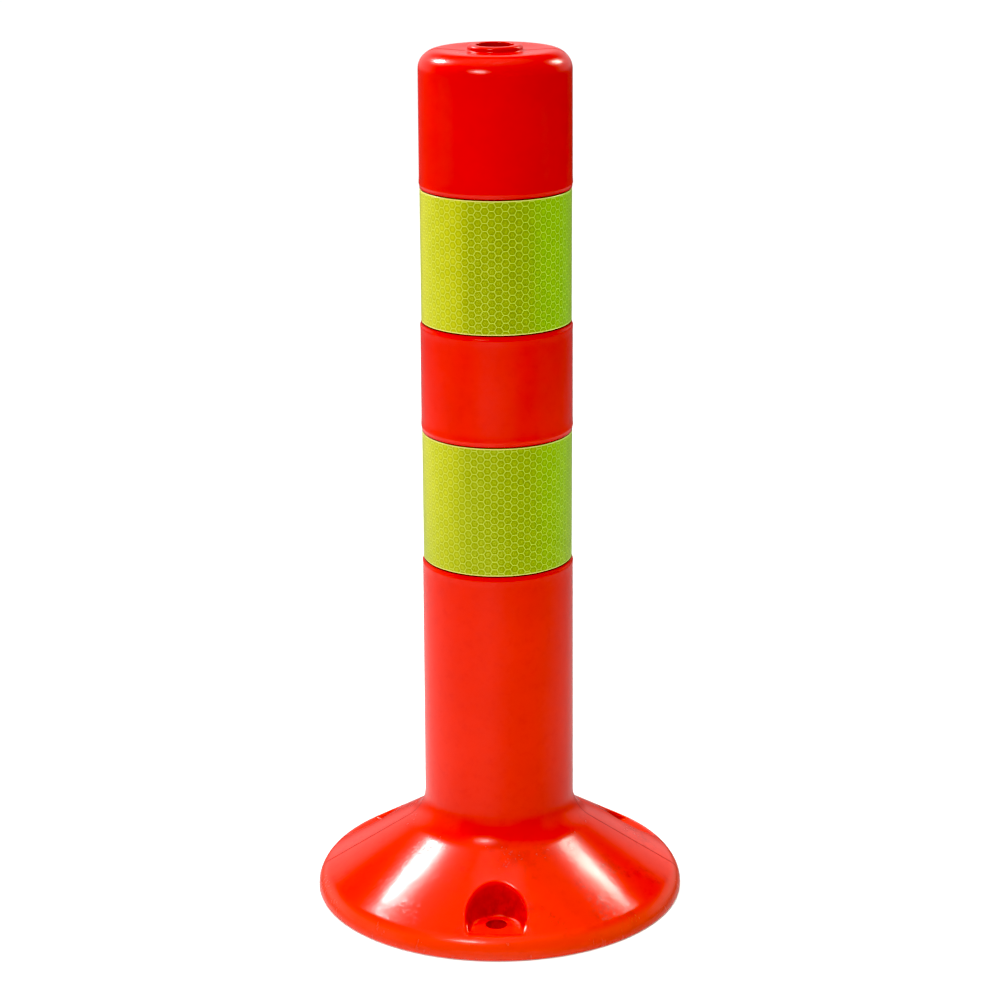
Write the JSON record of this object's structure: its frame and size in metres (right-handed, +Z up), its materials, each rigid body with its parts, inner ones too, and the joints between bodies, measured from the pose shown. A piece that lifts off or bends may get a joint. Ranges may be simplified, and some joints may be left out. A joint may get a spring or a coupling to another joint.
{
  "type": "flexible delineator post",
  "caption": "Self-righting moulded delineator post with a conical bolt-down foot, recessed reflective bands and a closed top with a lipped hole.",
  "frame": {"origin": "on the ground, on the post's vertical axis, under the middle of the foot", "axes": "+Z up along the post, -Y towards the fixing pocket at the front, +X to the right seen from the front"},
  "size_m": [0.2, 0.2, 0.4615],
  "materials": {
    "moulding": "semi-gloss orange-red polyurethane elastomer",
    "reflective_film": "fluorescent yellow-green prismatic retroreflective film"
  },
  "bodies": {
    "foot": {"foot": "moulding"},
    "neck_1": {"neck_flex_1": "moulding", "neck_firm_1": "moulding"},
    "neck_2": {"neck_flex_2": "moulding", "neck_firm_2": "moulding"},
    "neck_3": {"neck_flex_3": "moulding", "neck_firm_3": "moulding"},
    "post": {"neck_flex_4": "moulding", "post_shell": "moulding", "lower_band": "reflective_film", "upper_band": "reflective_film"}
  },
  "joints": [
    {"name": "bend_fore_aft_low", "type": "hinge", "parent": "foot", "child": "neck_1", "pos_m": [0, 0, 0.085], "axis": [1, 0, 0], "range_deg": [-45, 45], "stiffness_Nm_per_rad": 40, "deforming": ["neck_flex_1"]},
    {"name": "bend_sideways_low", "type": "hinge", "parent": "neck_1", "child": "neck_2", "pos_m": [0, 0, 0.118], "axis": [0, 1, 0], "range_deg": [-45, 45], "stiffness_Nm_per_rad": 40, "deforming": ["neck_flex_2"]},
    {"name": "bend_fore_aft_high", "type": "hinge", "parent": "neck_2", "child": "neck_3", "pos_m": [0, 0, 0.151], "axis": [1, 0, 0], "range_deg": [-45, 45], "stiffness_Nm_per_rad": 40, "deforming": ["neck_flex_3"]},
    {"name": "bend_sideways_high", "type": "hinge", "parent": "neck_3", "child": "post", "pos_m": [0, 0, 0.184], "axis": [0, 1, 0], "range_deg": [-45, 45], "stiffness_Nm_per_rad": 40, "deforming": ["neck_flex_4"]}
  ],
  "couplings": [
    {"joint": "bend_fore_aft_high", "follows": "bend_fore_aft_low", "ratio": 1},
    {"joint": "bend_sideways_high", "follows": "bend_sideways_low", "ratio": 1}
  ]
}
